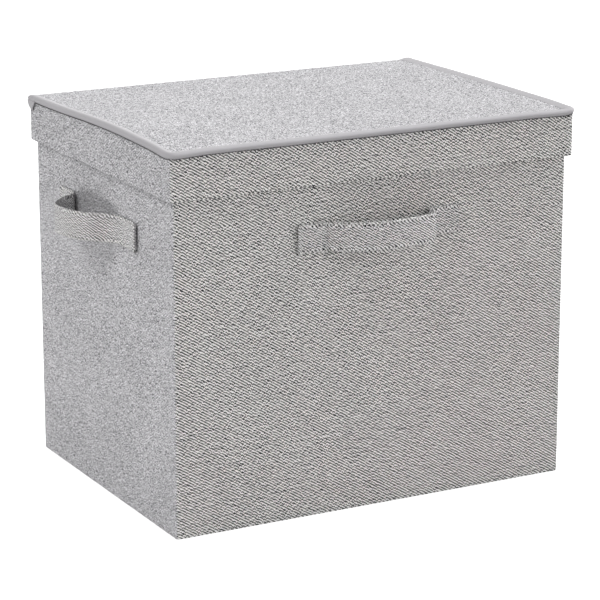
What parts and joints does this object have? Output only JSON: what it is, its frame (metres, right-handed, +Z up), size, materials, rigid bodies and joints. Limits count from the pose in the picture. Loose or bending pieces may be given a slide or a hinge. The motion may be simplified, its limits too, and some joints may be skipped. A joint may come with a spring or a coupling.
{
  "type": "fabric storage cube",
  "caption": "Rectangular fabric storage box with stiff boarded walls, a flip lid with a skirt and bound edge, a loose base board and strap handles on the front and sides.",
  "frame": {"origin": "middle of the underside of the box body, on the floor it stands on", "axes": "+Z up; the front with its handle faces -Y; +X to the right of the front, along the box's longest side"},
  "size_m": [0.454, 0.3318, 0.35],
  "materials": {
    "marl_cloth": "light grey marl twill",
    "strap_cloth": "light grey marl twill, folded strap",
    "lining_cloth": "plain grey non-woven lining",
    "binding_tape": "smooth grey tape",
    "stiff_board": "plain grey board"
  },
  "bodies": {
    "bin": {"front_outer_cloth": "marl_cloth", "back_outer_cloth": "marl_cloth", "left_outer_cloth": "marl_cloth", "right_outer_cloth": "marl_cloth", "bottom_cloth": "marl_cloth", "front_lining": "lining_cloth", "back_lining": "lining_cloth", "left_lining": "lining_cloth", "right_lining": "lining_cloth", "floor_lining": "lining_cloth", "front_board": "stiff_board", "back_board": "stiff_board", "left_board": "stiff_board", "right_board": "stiff_board", "front_handle_end_a": "strap_cloth", "front_handle_end_b": "strap_cloth", "left_handle_end_a": "strap_cloth", "left_handle_end_b": "strap_cloth", "right_handle_end_a": "strap_cloth", "right_handle_end_b": "strap_cloth", "hinge_cloth": "marl_cloth"},
    "base_insert": {"base_insert_sleeve": "lining_cloth", "base_insert_board": "stiff_board"},
    "lid": {"lid_top_cloth": "marl_cloth", "lid_top_board": "stiff_board", "lid_top_lining": "lining_cloth", "lid_front_skirt_cloth": "marl_cloth", "lid_front_skirt_board": "stiff_board", "lid_front_skirt_lining": "lining_cloth", "lid_left_skirt_cloth": "marl_cloth", "lid_left_skirt_board": "stiff_board", "lid_left_skirt_lining": "lining_cloth", "lid_right_skirt_cloth": "marl_cloth", "lid_right_skirt_board": "stiff_board", "lid_right_skirt_lining": "lining_cloth", "lid_binding": "binding_tape"},
    "front_handle": {"front_handle_grip": "strap_cloth"},
    "left_handle": {"left_handle_grip": "strap_cloth"},
    "right_handle": {"right_handle_grip": "strap_cloth"}
  },
  "joints": [
    {"name": "lid_hinge", "type": "hinge", "parent": "bin", "child": "lid", "pos_m": [0, 0.1543, 0.3457], "axis": [-1, 0, 0], "range_deg": [0, 270], "deforming": ["hinge_cloth"]},
    {"name": "base_insert_lift", "type": "slide", "parent": "bin", "child": "base_insert", "axis": [0, 0, 1], "range_m": [0, 0.32]},
    {"name": "front_handle_flex", "type": "hinge", "parent": "bin", "child": "front_handle", "pos_m": [0, -0.1494, 0.26], "axis": [1, 0, 0], "range_deg": [-35, 35], "stiffness_Nm_per_rad": 0.05},
    {"name": "left_handle_flex", "type": "hinge", "parent": "bin", "child": "left_handle", "pos_m": [-0.2014, 0.003, 0.26], "axis": [0, 1, 0], "range_deg": [-35, 35], "stiffness_Nm_per_rad": 0.05},
    {"name": "right_handle_flex", "type": "hinge", "parent": "bin", "child": "right_handle", "pos_m": [0.2014, 0.003, 0.26], "axis": [0, 1, 0], "range_deg": [-35, 35], "stiffness_Nm_per_rad": 0.05}
  ]
}
